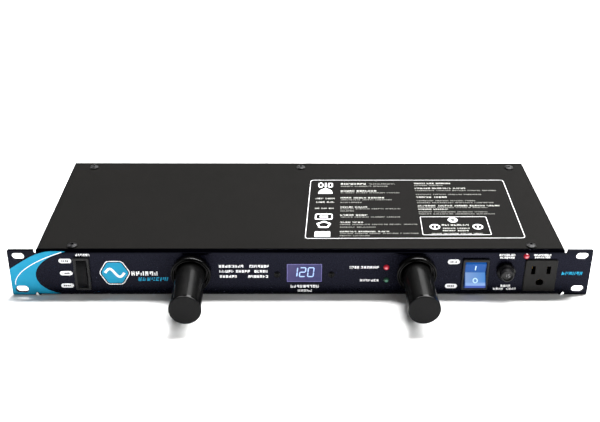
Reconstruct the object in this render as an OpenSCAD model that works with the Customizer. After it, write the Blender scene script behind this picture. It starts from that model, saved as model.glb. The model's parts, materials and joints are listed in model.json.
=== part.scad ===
// Rack power conditioner, one rack unit high, with two pull-out lamps.
// Origin: centre of the four rack slots, on the back face of the front panel.
// +X is right as seen from the front, +Y runs back into the rack, +Z is up.

/* [Front panel] */
// Width over the rack ears
panel_w = 482.6; // [482:0.1:483]
// Height of the panel, one rack unit less its gap
panel_h = 43.7; // [43.4:0.05:44]
// Thickness of the panel plate
panel_t = 2; // [1.6:0.1:3]
// Distance between the rack slots, side to side
rack_pitch_x = 465.1; // [464.6:0.1:465.6]
// Distance between the rack slots, top to bottom
rack_pitch_z = 31.75; // [31.5:0.05:32]
// Width of a rack slot
slot_w = 6.2; // [6:0.1:7]
// Length of a rack slot
slot_l = 10.2; // [9:0.1:12]

/* [Enclosure] */
// Width of the body behind the panel
body_w = 435.4; // [434:0.1:436]
// Depth of the body behind the panel
body_d = 163; // [160:1:200]
// Thickness of the steel sheet
sheet_t = 1.2; // [1:0.1:1.5]
// How far the cover's top stays under the panel's top edge
cover_drop = 0.2; // [0.1:0.1:0.4]

/* [Lamps] */
// Place of the left lamp along the panel
lamp_left_x = -91.2; // [-94:0.1:-88]
// Place of the right lamp along the panel
lamp_right_x = 96; // [94:0.1:98]
// Diameter of the lamp tube
tube_d = 24.5; // [24:0.1:24.6]
// Diameter of the cap on the tube's end
cap_d = 26; // [25.4:0.1:26.4]
// How far the cap's face stands out from the panel, pulled out
lamp_out = 55; // [52:0.5:60]
// How far the lamp pushes in
lamp_travel = 48; // [44:0.5:49]
// Outer diameter of the lamp's bezel
bezel_d = 33.2; // [32:0.1:34]
// How far the bezel stands out from the panel
bezel_out = 5; // [4.5:0.1:6]

/* [Switches] */
// Place of the dimmer switch along the panel
dimmer_x = -181.1; // [-184:0.1:-178]
// Height of the dimmer switch above the panel's middle
dimmer_z = -0.5; // [-1:0.1:1]
// Place of the power switch along the panel
power_x = 144.9; // [144:0.1:147]
// Height of the power switch above the panel's middle
power_z = -1.2; // [-1.5:0.1:1.5]
// Tilt of the power rocker to each side
power_tilt = 12; // [8:1:13]
// Place of the breaker along the panel
breaker_x = 170.2; // [169.5:0.1:171.5]
// Height of the breaker above the panel's middle
breaker_z = 1.8; // [0:0.1:2]

/* [Display and indicators] */
// Place of the display window along the panel
window_x = 2.8; // [0:0.1:5]
// Height of the display window above the panel's middle
window_z = -0.4; // [-1:0.1:1]
// Width of the display window
window_w = 29.4; // [28:0.1:30]
// Height of the display window opening
window_h = 17.7; // [17:0.1:18.5]
// Diameter of the indicator lights
led_d = 5; // [4.8:0.1:5]

/* [Outlets] */
// Place of the front outlet along the panel
outlet_x = 199.4; // [199:0.1:200]
// Height of the front outlet above the panel's middle
outlet_z = -2.5; // [-3:0.1:-2]
// Distance between neighbouring outlets in a rear block
rear_pitch = 38; // [36:0.5:39]
// Place of the left rear block, as seen from the front
block_left_x = -122; // [-124:1:-120]
// Place of the right rear block, as seen from the front
block_right_x = 46; // [44:1:48]
// Place of the cord opening in the rear panel
gland_x = 158; // [156:1:162]
// Place of the earth stud in the rear panel
stud_x = 194; // [190:1:198]

/* [Hidden] */
$fn = 64;
eps = 0.01;

cover_top = panel_h / 2 - cover_drop;
base_bottom = -panel_h / 2;
seat_top = cover_top - sheet_t;
floor_top = base_bottom + sheet_t;
inner_w = body_w - 2 * sheet_t;
tray_w = inner_w - 0.2;
cover_gap = 1;
flange_d = 12;
rear_flange_d = 17;
rear_in = body_d - sheet_t;

// Bend reliefs between the ears and the folded middle of the panel
relief_x = 218.6;
relief_w = 2;
relief_deep = 3.7;
vee_x = 220.7;
vee_w = 3.7;
vee_deep = 2.9;
// Outer radius of the folds along the panel's bottom and top, and of the cover's front edge
bend_r = [2.5, 3.4];
cover_edge_r = 0.45;

cover_screw_x = [-188.7, 190.8];
cover_screw_y = 5.2;
rear_screw_x = [-197.1, 1.5, 202.5];
rear_screw_y = 152.5;
base_screw_x = [-181.5, 0, 181.5];
base_screw_y = [6, 154];
screw_r = 1.6;
screw_hole_r = 1.7;

display_screw_x = [-19.9, 25.2];
display_screw_z = -1.8;
board_gap = 9.3;
board_t = 1.6;

red_led = [70.7, 5.3];
green_led = [71.2, -7];
outlet_led = [186.1, 16];
led_board_gap = 8.5;

// Lamp, along its own axis, counted outwards from the panel's front face
cap_l = 3.6;
cap_rear_r = 0.6;
cap_front_r = 0.9;
tube_r = tube_d / 2;
tube_wall = 1.5;
tube_in_r = tube_r - tube_wall;
cap_back = lamp_out - cap_l;
tube_back = -30;
cap_plug_l = 6;
window_l = 26;
lens_t = 1.5;
pivot_flange_t = 1.5;
neck_r = 8;
neck_back = -44;
slider_front = tube_back - pivot_flange_t - 0.5;
slider_l = 10;
slider_r = 15;
clip_t = 1;
clip_gap = 0.25;
clip_front = slider_front - slider_l - clip_gap;
bezel_hole_r = tube_r + 0.3;
bezel_neck_r = 14.3;
bezel_neck_l = 10;
bezel_seat = bezel_out - 4;
guide_r = 17;
guide_step = slider_front + 0.4;
guide_back = neck_back - lamp_travel - 5;

// Rocker switches, in the plane across their pivot
rocker_gap = 0.3;
dimmer_w = 13.4;
dimmer_h = 31.4;
dimmer_out = 1.8;
dimmer_rocker_w = 8.2;
dimmer_rocker_r = 13;
dimmer_pivot = -1.4;
power_w = 22.4;
power_h = 29.4;
power_out = 2.2;
power_rocker_w = 18;
power_rocker_r = 12.21;
power_pivot = -1.15;
switch_depth = 22;
pivot_pin_r = 1.5;

breaker_neck_r = 5.9;
breaker_nut_r = 7.6;
breaker_nut_out = 5;
breaker_button_r = 5.5;
breaker_button_out = 9;
button_dish = 1.3;

outlet_w = 27.1;
outlet_h = 30.7;
outlet_out = 1.4;
outlet_depth = 20;
outlet_side = 1.2;
blade_x = 6.35;
blade_z = 5.7;
earth_z = -6.3;
slot_face_w = 3.4;
contact_front = -6.5;
block_w = 3 * rear_pitch + 36;
block_h = 31;

gland_z = -1;
gland_hole_r = 5.2;
gland_neck_r = 8;
stud_r = 2;
stud_out = 9;

board_x = 18;
board_w = 150;
board_y = [98, 136];
board_z = floor_top + 6;

// Local frame on the panel's front face: x along X, y up, z outwards
module at_panel(x, z) {
    translate([x, -panel_t, z]) rotate([90, 0, 0]) children();
}

// The same frame on the rear panel's outer face, seen from behind
module at_rear(x, z) {
    translate([x, body_d, z]) rotate([90, 0, 180]) children();
}

// Plate with rounded corners and a bevel round its outer face
module bevel_plate(w, h, t, r, c) {
    edge = [[0, 0], [r, 0], [r, t - c], [r - c, t], [0, t]];
    for (x = [-1, 1], y = [-1, 1])
        translate([x * (w / 2 - r), y * (h / 2 - r), 0]) rotate_extrude($fn = 32) polygon(edge);
    rotate([90, 0, 90]) linear_extrude(w - 2 * r, center = true) bevel_profile(h, t, c);
    rotate([90, 0, 0]) linear_extrude(h - 2 * r, center = true) bevel_profile(w, t, c);
}

module bevel_profile(w, t, c) {
    polygon([[-w / 2, 0], [w / 2, 0], [w / 2, t - c], [w / 2 - c, t], [c - w / 2, t], [-w / 2, t - c]]);
}

module box(w, h, back, front) {
    translate([-w / 2, -h / 2, back]) cube([w, h, front - back]);
}

module rod(r, back, front) {
    translate([0, 0, back]) cylinder(r = r, h = front - back);
}

module ring(r_in, r_out, back, front) {
    difference() {
        rod(r_out, back, front);
        rod(r_in, back - 1, front + 1);
    }
}

// Domed socket screw: its head stands on z = 0 and its shank points down
module dome_screw(head_r, head_h, shank_r, shank_l, socket_r) {
    difference() {
        union() {
            intersection() {
                rod(head_r, 0, head_h);
                translate([0, 0, head_h - 1.9 * head_r]) sphere(r = 1.9 * head_r);
            }
            rod(shank_r, -shank_l, eps);
        }
        translate([0, 0, head_h * 0.35]) cylinder(r = socket_r, h = head_h, $fn = 6);
    }
}

module slotted_hole(l, w) {
    for (x = [-1, 1]) translate([x * (l - w) / 2, 0, 0]) rod(w / 2, -panel_t - 1, 1);
    box(l - w, w, -panel_t - 1, 1);
}

// What a fold of radius r takes off a corner that faces up and forwards
module fold_cut(w, r) {
    arc = [for (a = [0 : 10 : 90]) [r * (cos(a) - 1), r * (sin(a) - 1)]];
    mirror([0, 1, 0]) rotate([90, 0, 90]) linear_extrude(w, center = true)
        polygon(concat([[1, 1], [1, -r], [0, -r]], arc, [[-r, 0], [-r, 1]]));
}

module front_panel() color("#1c1c24") difference() {
    union() {
        at_panel(0, 0) translate([0, 0, -panel_t]) bevel_plate(panel_w, panel_h, panel_t, 1.6, 0.4);
        for (z = [floor_top, seat_top - sheet_t]) translate([-tray_w / 2, -eps, z])
            cube([tray_w, flange_d + eps, sheet_t]);
    }
    for (s = [-1, 1]) {
        for (k = [-1, 1]) at_panel(s * rack_pitch_x / 2, k * rack_pitch_z / 2) slotted_hole(slot_l, slot_w);
        at_panel(s * relief_x, panel_h / 2) {
            box(relief_w, 2 * (relief_deep - relief_w / 2), -panel_t - 1, 1);
            translate([0, relief_w / 2 - relief_deep, 0]) rod(relief_w / 2, -panel_t - 1, 1);
        }
        at_panel(s * vee_x, -panel_h / 2) translate([0, 0, -panel_t - 1]) linear_extrude(panel_t + 2)
            polygon([[-vee_w / 2, -1], [vee_w / 2, -1], [vee_w / 2, 0.2], [0, vee_deep], [-vee_w / 2, 0.2]]);
    }
    for (k = [0, 1]) mirror([0, 0, 1 - k]) translate([0, -panel_t, panel_h / 2])
        fold_cut(2 * relief_x - relief_w, bend_r[k]);
    for (x = cover_screw_x) translate([x, cover_screw_y, 0]) rod(screw_hole_r, 0, panel_h);
    for (x = base_screw_x) translate([x, base_screw_y[0], 0]) rod(screw_hole_r, -panel_h, 0);
    at_panel(window_x, window_z) box(window_w, window_h, -panel_t - 1, 1);
    for (x = display_screw_x) at_panel(x, display_screw_z) rod(1.6, -panel_t - 1, 1);
    for (p = [red_led, green_led, outlet_led]) at_panel(p[0], p[1]) rod(led_d / 2 + 0.1, -panel_t - 1, 1);
    for (x = [lamp_left_x, lamp_right_x]) at_panel(x, 0) rod(bezel_neck_r + 0.1, -panel_t - 1, 1);
    at_panel(dimmer_x, dimmer_z) box(dimmer_rocker_w + 3.2, 2 * dimmer_rocker_r + 3, -panel_t - 1, 1);
    at_panel(power_x, power_z) box(power_rocker_w + 3.2, 2 * power_rocker_r + 3, -panel_t - 1, 1);
    at_panel(breaker_x, breaker_z) rod(breaker_neck_r + 0.15, -panel_t - 1, 1);
    at_panel(outlet_x, outlet_z)
        box(outlet_w - 2 * outlet_side + 0.2, outlet_h - 2 * outlet_side + 0.2, -panel_t - 1, 1);
}

module chassis_base() color("#2b2a28") difference() {
    union() {
        translate([-tray_w / 2, 0.2, base_bottom]) cube([tray_w, body_d - 0.2, sheet_t]);
        for (s = [-1, 1]) translate([s * (tray_w - sheet_t) / 2 - sheet_t / 2, flange_d + 1, base_bottom])
            cube([sheet_t, rear_in - rear_flange_d - flange_d - 2, 16]);
    }
    for (x = base_screw_x, y = base_screw_y) translate([x, y, base_bottom]) {
        rod(screw_hole_r, -1, sheet_t + 1);
        translate([0, 0, -eps]) cylinder(r1 = 3.1, r2 = screw_hole_r, h = sheet_t);
    }
}

module rear_panel() color("#2b2a28") difference() {
    union() {
        translate([-tray_w / 2, rear_in, floor_top]) cube([tray_w, sheet_t, seat_top - floor_top]);
        for (z = [floor_top, seat_top - sheet_t]) translate([-tray_w / 2, rear_in - rear_flange_d, z])
            cube([tray_w, rear_flange_d + eps, sheet_t]);
    }
    for (x = rear_screw_x) translate([x, rear_screw_y, 0]) rod(screw_hole_r, 0, panel_h);
    for (x = base_screw_x) translate([x, base_screw_y[1], 0]) rod(screw_hole_r, -panel_h, 0);
    for (x = [block_left_x, block_right_x])
        at_rear(x, 0) box(block_w - 4, block_h - 2.8, -sheet_t - 1, 1);
    at_rear(gland_x, gland_z) rod(gland_neck_r + 0.1, -sheet_t - 1, 1);
    at_rear(stud_x, gland_z) rod(stud_r + 0.1, -sheet_t - 1, 1);
}

module top_cover() color("#373634") difference() {
    union() {
        translate([-body_w / 2, cover_gap, seat_top]) cube([body_w, body_d - cover_gap, sheet_t]);
        for (s = [-1, 1]) translate([s * (body_w - sheet_t) / 2 - sheet_t / 2, cover_gap, base_bottom + 0.3])
            cube([sheet_t, body_d - cover_gap, cover_top - base_bottom - 0.3]);
    }
    for (s = [-1, 1]) translate([s * body_w / 2, 0, cover_top]) rotate([0, s * 45, 0])
        translate([-0.35, 0, -1]) translate([s > 0 ? 0 : -0.3, 0, 0]) cube([1, body_d + 1, 2]);
    translate([0, cover_gap, cover_top]) fold_cut(body_w + 1, cover_edge_r);
    for (x = cover_screw_x) translate([x, cover_screw_y, 0]) rod(screw_hole_r, 0, panel_h);
    for (x = rear_screw_x) translate([x, rear_screw_y, 0]) rod(screw_hole_r, 0, panel_h);
}

module cover_screws() color("#1d1d1d") {
    for (x = cover_screw_x) translate([x, cover_screw_y, cover_top]) dome_screw(4.1, 2.1, screw_r, 6, 1.5);
    for (x = rear_screw_x) translate([x, rear_screw_y, cover_top]) dome_screw(4.1, 2.1, screw_r, 6, 1.5);
}

module base_screws() color("#1d1d1d") for (x = base_screw_x, y = base_screw_y)
    translate([x, y, base_bottom]) difference() {
        union() {
            cylinder(r1 = 3, r2 = screw_r, h = sheet_t);
            rod(screw_r, sheet_t - eps, 6);
        }
        translate([0, 0, -eps]) cylinder(r = 1.1, h = 0.7, $fn = 6);
    }

module display_window() color("#6a62b8") at_panel(window_x, window_z) {
    box(window_w - 0.2, window_h - 0.2, -panel_t - eps, -0.3);
    box(window_w + 6, window_h + 6, -panel_t - 1.2, -panel_t);
}

module voltmeter_digits() color("#d8d4f4") at_panel(window_x, window_z)
    box(window_w, window_h - 1, -panel_t - board_gap, -panel_t - 1.3);

module voltmeter_board() color("#1f5c38") difference() {
    back = -panel_t - board_gap - board_t;
    at_panel(window_x, window_z) {
        box(54, 27, back, back + board_t);
        translate([-12, -4, 0]) box(12, 12, back - 1.8, back);
        translate([10, 5, 0]) box(9, 6, back - 7, back);
    }
    for (x = display_screw_x) at_panel(x, display_screw_z) rod(1.6, -panel_t - board_gap - board_t - 1, 0);
}

module display_screws() color("#1a1a1a") for (x = display_screw_x) at_panel(x, display_screw_z) {
    dome_screw(2.65, 1.5, 1.5, panel_t + board_gap + board_t + 3, 1.1);
    ring(1.55, 2.7, -panel_t - board_gap, -panel_t);
}

// Round indicator light with its two legs down to the board
module led(board) {
    rod(led_d / 2, -panel_t - 4.6, -0.4);
    translate([0, 0, -0.4]) intersection() {
        sphere(r = led_d / 2);
        rod(led_d / 2, 0, led_d / 2);
    }
    rod(led_d / 2 + 0.25, -panel_t - 4.6, -panel_t - 3.6);
    for (x = [-1.27, 1.27]) translate([x, 0, 0]) rod(0.3, -panel_t - board, -panel_t - 4.6 + eps);
}

module led_protected() color("#d8202c") at_panel(red_led[0], red_led[1]) led(led_board_gap);
module led_grounded() color("#2f7f58") at_panel(green_led[0], green_led[1]) led(led_board_gap);
module led_outlet() color("#d8202c") at_panel(outlet_led[0], outlet_led[1]) led(14);

module indicator_board() color("#1f5c38") at_panel(70.5, -1) {
    box(14, 27, -panel_t - led_board_gap - board_t, -panel_t - led_board_gap);
    translate([0, -7, 0]) box(6, 4, -panel_t - led_board_gap - board_t - 5, -panel_t - led_board_gap - board_t);
}

// Bezel: flange with two rings, a seat for the cap and a neck through the panel
module lamp_bezel(x) at_panel(x, 0) color("#161616") rotate_extrude($fn = 96) polygon(concat(
    [[bezel_hole_r, -panel_t - bezel_neck_l], [bezel_neck_r, -panel_t - bezel_neck_l], [bezel_neck_r, 0],
    [bezel_d / 2, 0], [bezel_d / 2, bezel_out - 1.2]],
    [for (a = [0 : 15 : 90]) [bezel_d / 2 - 0.9 + 0.9 * cos(a), bezel_out - 1.2 + 0.9 * sin(a)]],
    [[15, bezel_out - 0.9], [14.8, bezel_out - 0.5]],
    [for (a = [30 : 30 : 150]) [14.2 + 0.6 * cos(a), bezel_out - 0.6 + 0.6 * sin(a)]],
    [[cap_d / 2 + 0.5, bezel_out - 0.7], [cap_d / 2 + 0.5, bezel_seat], [bezel_hole_r, bezel_seat]]));

// Guide behind the panel: screwed on the bezel's neck, it carries the slider
module lamp_guide(x) at_panel(x, 0) color("#3a3a3c") difference() {
    rod(guide_r, guide_back, -panel_t);
    rod(bezel_neck_r + 0.1, -panel_t - bezel_neck_l - 0.1, 0);
    rod(bezel_hole_r, guide_step, 0);
    rod(slider_r + 0.3, guide_back + 2, guide_step);
    rod(6, guide_back - 1, 0);
}

module lamp_slider(x) at_panel(x, 0) color("#c9c6bd")
    ring(neck_r + 0.05, slider_r, slider_front - slider_l, slider_front);

module lamp_tube(x) at_panel(x, 0) color("#17171a") difference() {
    ring(tube_in_r, tube_r, tube_back, cap_back);
    translate([0, -tube_r, 0]) box(15, 14, cap_back - cap_plug_l - 2 - window_l, cap_back - cap_plug_l - 2);
}

module lamp_cap(x) at_panel(x, 0) color("#2a2a2a") {
    rear = [cap_d / 2 - cap_rear_r, cap_back + cap_rear_r];
    front = [cap_d / 2 - cap_front_r, lamp_out - cap_front_r];
    rotate_extrude() polygon(concat([[0, cap_back]],
        [for (a = [-90 : 15 : 0]) rear + cap_rear_r * [cos(a), sin(a)]],
        [for (a = [0 : 15 : 90]) front + cap_front_r * [cos(a), sin(a)]], [[0, lamp_out]]));
    rod(tube_in_r - 0.1, cap_back - cap_plug_l, cap_back + eps);
}

module lamp_lens(x) at_panel(x, 0) color("#e8eef2") intersection() {
    front = cap_back - cap_plug_l - 0.1;
    ring(tube_in_r - 0.1 - lens_t, tube_in_r - 0.1, front - window_l - 3.9, front);
    translate([0, -tube_r, 0]) box(tube_d, 14, tube_back, lamp_out);
}

module lamp_board(x) at_panel(x, 0) {
    color("#f2f2ee") translate([0, 1.8, 0]) box(15, board_t, -2, cap_back - cap_plug_l - 1);
    color("#e8d26a") for (i = [0 : 5]) translate([0, 0.5, 13 + 4.4 * i]) box(3.4, 1.02, -1.7, 1.7);
}

module lamp_pivot(x) at_panel(x, 0) color("#3a3a3c") difference() {
    union() {
        rod(tube_in_r - 0.1, tube_back - eps, tube_back + 10);
        rod(tube_r, tube_back - pivot_flange_t, tube_back);
        rod(neck_r, neck_back, tube_back);
    }
    rod(4, neck_back - 1, tube_back + 11);
    ring(neck_r - 1, neck_r + 1, clip_front - clip_t - 0.1, clip_front + 0.1);
}

module lamp_clip(x) at_panel(x, 0) color("#b9bcc0") difference() {
    ring(neck_r - 0.95, neck_r + 2.5, clip_front - clip_t, clip_front);
    translate([0, -neck_r, 0]) box(9, 10, clip_front - clip_t - 1, clip_front + 1);
}

module lamp_left_bezel() lamp_bezel(lamp_left_x);
module lamp_left_guide() lamp_guide(lamp_left_x);
module lamp_left_slider() lamp_slider(lamp_left_x);
module lamp_left_tube() lamp_tube(lamp_left_x);
module lamp_left_cap() lamp_cap(lamp_left_x);
module lamp_left_lens() lamp_lens(lamp_left_x);
module lamp_left_board() lamp_board(lamp_left_x);
module lamp_left_pivot() lamp_pivot(lamp_left_x);
module lamp_left_clip() lamp_clip(lamp_left_x);
module lamp_right_bezel() lamp_bezel(lamp_right_x);
module lamp_right_guide() lamp_guide(lamp_right_x);
module lamp_right_slider() lamp_slider(lamp_right_x);
module lamp_right_tube() lamp_tube(lamp_right_x);
module lamp_right_cap() lamp_cap(lamp_right_x);
module lamp_right_lens() lamp_lens(lamp_right_x);
module lamp_right_board() lamp_board(lamp_right_x);
module lamp_right_pivot() lamp_pivot(lamp_right_x);
module lamp_right_clip() lamp_clip(lamp_right_x);

// Housing of a rocker switch: bezel, a well for the rocker and a closed back
module switch_housing(w, h, out, rocker_w, rocker_r, pivot) difference() {
    union() {
        bevel_plate(w, h, out, 1.2, 0.5);
        box(rocker_w + 3, 2 * rocker_r + 2.8, -switch_depth, eps);
    }
    box(rocker_w + 2 * rocker_gap, 2 * (rocker_r + rocker_gap), -10.5, out + 1);
    translate([0, 0, pivot]) rotate([0, 90, 0])
        cylinder(r = pivot_pin_r + 0.05, h = rocker_w + 2.6, center = true);
}

// Rocker: its ends are arcs about the pivot, its face is set by the outline
module rocker(w, r, outline) {
    rotate([90, 0, 90]) linear_extrude(w, center = true) intersection() {
        circle(r = r, $fn = 128);
        polygon(outline);
    }
    rotate([0, 90, 0]) cylinder(r = pivot_pin_r, h = w + 2.2, center = true);
}

module tabs(places, back) {
    for (p = places) translate([p[0], p[1], 0]) box(0.8, 6.3, back - 8, back);
}

module dimmer_housing() color("#1b1b1b") at_panel(dimmer_x, dimmer_z)
    switch_housing(dimmer_w, dimmer_h, dimmer_out, dimmer_rocker_w, dimmer_rocker_r, dimmer_pivot);

module dimmer_rocker() color("#222222") at_panel(dimmer_x, dimmer_z) translate([0, 0, dimmer_pivot])
    rocker(dimmer_rocker_w, dimmer_rocker_r, concat([[-14, -5], [14, -5], [14, 3]],
        [for (y = [12.6 : -2.1 : -12.6]) [y, 5.4 - pow(y / 12.6, 2) * 2.2]], [[-14, 3]]));

module dimmer_terminals() color("#c9a14a") at_panel(dimmer_x, dimmer_z)
    tabs([[0, 9.5], [0, 0], [0, -9.5]], -switch_depth);

module power_switch_housing() color("#1b1b1b") at_panel(power_x, power_z)
    switch_housing(power_w, power_h, power_out, power_rocker_w, power_rocker_r, power_pivot);

module power_rocker() color("#3f7fd8") at_panel(power_x, power_z) translate([0, 0, power_pivot])
    rotate([-power_tilt, 0, 0]) rocker(power_rocker_w, power_rocker_r,
        [[-11, -5], [11, -5], [13, 0], [13, 3.7], [11.5, 4.1], [9.4, 4.6], [1.9, 1.5], [-8.8, 4.7],
        [-11.5, 4.1], [-13, 3.7], [-13, 0]]);

module power_switch_terminals() color("#c9a14a") at_panel(power_x, power_z)
    tabs([[-5, 8], [5, 8], [-5, -8], [5, -8]], -switch_depth);

module breaker_body() color("#202020") at_panel(breaker_x, breaker_z) difference() {
    union() {
        translate([0, -1.8, 0]) box(14, 32, -panel_t - 30, -panel_t);
        rod(breaker_neck_r, -panel_t - eps, 3);
    }
    rod(3.2, -14, 4);
}

module breaker_nut() color("#121212") at_panel(breaker_x, breaker_z) rotate_extrude() polygon(
    [[breaker_neck_r + 0.05, 0], [breaker_nut_r, 0], [breaker_nut_r, breaker_nut_out - 1.2],
    [breaker_nut_r - 1.2, breaker_nut_out], [breaker_neck_r + 0.05, breaker_nut_out]]);

module breaker_button() color("#3c3c3c") at_panel(breaker_x, breaker_z) {
    rotate_extrude() polygon([[0, 3.4], [breaker_button_r, 3.4], [breaker_button_r, breaker_button_out - 0.5],
        [breaker_button_r - 0.5, breaker_button_out], [breaker_button_r - 1.2, breaker_button_out],
        [breaker_button_r - 1.7, breaker_button_out - button_dish], [0, breaker_button_out - button_dish]]);
    rod(2.9, -11, 3.4 + eps);
}

module breaker_terminals() color("#c9a14a") at_panel(breaker_x, breaker_z)
    for (y = [-9.8, 6.2]) translate([0, y, 0]) box(6.3, 0.8, -panel_t - 38, -panel_t - 30);

// Wells of one grounding outlet: two upright blades and the earth pin below
module outlet_wells(depth) {
    for (s = [-1, 1]) translate([s * blade_x, blade_z, 0]) {
        box(slot_face_w, s < 0 ? 8 : 7.2, -2.2, 5);
        box(5, 9.4, -depth - 1, -2);
    }
    translate([0, earth_z, 0]) {
        difference() {
            rod(3.3, -2.2, 5);
            translate([0, -4.6, 0]) box(8, 4, -3, 6);
        }
        rod(3.4, -depth - 1, -2);
    }
}

// Spring contact: two leaves joined at the back by a bar as tall as the leaves
module blade_contact(back) {
    for (s = [-1, 1]) translate([s * 1.3, 0, 0]) box(0.7, 7, back, contact_front);
    box(3.3, 7, back - 0.8, back + eps);
}

module earth_contact(back) difference() {
    ring(2.1, 2.8, back, contact_front);
    translate([0, 3, 0]) box(1.6, 4, back + 2, 0);
}

module front_outlet() color("#383634") at_panel(outlet_x, outlet_z) difference() {
    union() {
        bevel_plate(outlet_w, outlet_h, outlet_out, 1.5, 0.5);
        box(outlet_w - 2 * outlet_side, outlet_h - 2 * outlet_side, -outlet_depth, eps);
    }
    outlet_wells(outlet_depth);
}

module front_outlet_contacts() color("#d0a848") at_panel(outlet_x, outlet_z) {
    for (s = [-1, 1]) translate([s * blade_x, blade_z, 0]) {
        blade_contact(-15);
        box(0.8, 6.3, -outlet_depth - 7, -15);
    }
    translate([0, earth_z, 0]) {
        earth_contact(-15);
        rod(2.8, -16, -15 + eps);
        box(0.8, 5, -outlet_depth - 7, -15.5);
    }
}

module outlet_places() for (i = [-1.5 : 1 : 1.5]) translate([i * rear_pitch, 0, 0]) children();

module rear_block(x) color("#1e1e1e") at_rear(x, 0) difference() {
    union() {
        bevel_plate(block_w, block_h, 1.6, 2, 0.5);
        box(block_w - 4.4, block_h - 3.2, -outlet_depth, eps);
    }
    outlet_places() translate([0, 0, 1.6]) {
        outlet_wells(outlet_depth + 1.6);
        difference() {
            box(29, 26, -0.5, 1);
            box(27, 24, -1, 2);
        }
    }
}

// Bus bars behind the block: live, neutral and earth, each with its contacts
module rear_contacts(x) color("#d0a848") at_rear(x, 0) {
    bus = -outlet_depth - 2;
    for (s = [-1, 1]) {
        outlet_places() translate([s * blade_x, blade_z, 0]) {
            blade_contact(-15);
            translate([0, s * 2.4, 0]) box(0.8, 2.2, bus, -15);
        }
        translate([0, blade_z + s * 2.4, 0]) box(3 * rear_pitch + 20, 2.2, bus - 1, bus + eps);
    }
    outlet_places() translate([0, earth_z, 0]) {
        earth_contact(-15);
        rod(2.8, -16, -15 + eps);
        rod(1, bus, -15.5);
    }
    translate([0, earth_z, 0]) box(3 * rear_pitch + 20, 2.2, bus - 1, bus + eps);
}

module rear_block_left() rear_block(block_left_x);
module rear_block_right() rear_block(block_right_x);
module rear_contacts_left() rear_contacts(block_left_x);
module rear_contacts_right() rear_contacts(block_right_x);

module cord_gland() color("#181818") at_rear(gland_x, gland_z) difference() {
    union() {
        rod(gland_neck_r, -12, eps);
        rotate_extrude() polygon([[0, 0], [11.5, 0], [11.5, 2], [10.5, 3.5], [8.5, 5], [0, 5]]);
        ring(gland_neck_r - eps, gland_neck_r + 1.2, -sheet_t - 2.4, -sheet_t);
    }
    rod(gland_hole_r, -13, 6);
}

module earth_stud() color("#c0b080") at_rear(stud_x, gland_z) {
    rod(stud_r, -8, stud_out);
    cylinder(r = 4, h = 2.4, $fn = 6);
    rod(4.4, -sheet_t - 1, -sheet_t);
    translate([0, 0, -sheet_t - 4.2]) cylinder(r = 4, h = 3.2, $fn = 6);
}

module terminal_block() color("#e4e0d4") translate([gland_x, 120, floor_top]) difference() {
    translate([-17, -7, 0]) cube([34, 14, 16]);
    for (x = [-11, 0, 11]) translate([x, 0, 0]) {
        translate([0, 0, 9]) rotate([90, 0, 0]) cylinder(r = 2.2, h = 16, center = true);
        translate([0, 0, 11]) cylinder(r = 2.4, h = 6);
    }
}

module filter_board() color("#2d6a3e") difference() {
    translate([board_x - board_w / 2, board_y[0], board_z]) cube([board_w, board_y[1] - board_y[0], board_t]);
    for (x = [-1, 1], y = [board_y[0] + 4, board_y[1] - 4])
        translate([board_x + x * (board_w / 2 - 5), y, board_z]) rod(1.7, -1, board_t + 1);
}

module board_supports() color("#e8e8e4") for (x = [-1, 1], y = [board_y[0] + 4, board_y[1] - 4])
    translate([board_x + x * (board_w / 2 - 5), y, 0]) {
        rod(3.2, floor_top, board_z);
        rod(1.6, board_z - eps, board_z + board_t + 2);
    }

module filter_choke() color("#b8763a") translate([board_x - 42, 117, board_z + board_t]) {
    translate([0, 0, 7]) {
        rotate_extrude($fn = 36) translate([10, 0]) circle(r = 5, $fn = 12);
        for (a = [0 : 22.5 : 337.5]) rotate([0, 0, a]) translate([10, 0, 0]) rotate([90, 0, 0])
            rotate_extrude($fn = 12) translate([5.1, 0]) circle(r = 0.7, $fn = 6);
    }
    for (s = [-1, 1]) translate([s * 10, 0, 0]) rod(0.8, 0, 3);
}

module filter_capacitors() color("#c8b020") for (i = [0 : 2])
    translate([board_x - 14 + 17 * i, 106, board_z + board_t]) translate([-6, 0, 0.5]) cube([12, 22, 19]);

module varistors() color("#2f62b0") for (i = [0 : 2])
    translate([board_x + 40 + 11 * i, 114, board_z + board_t]) {
    translate([0, 0, 10]) rotate([0, 90, 0]) cylinder(r = 8, h = 4.4, center = true);
    for (y = [-3.75, 3.75]) translate([0, y, 0]) rod(0.4, 0, 4);
}

module lamp_supply() color("#26282c") translate([-170, 112, floor_top]) {
    translate([-32, -18, 0]) cube([64, 36, 27]);
    for (x = [-1, 1]) translate([x * 37, 0, 0]) difference() {
        translate([-5 - eps * x, -18, 0]) cube([10, 36, 2]);
        rod(2, -1, 3);
    }
}

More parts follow.
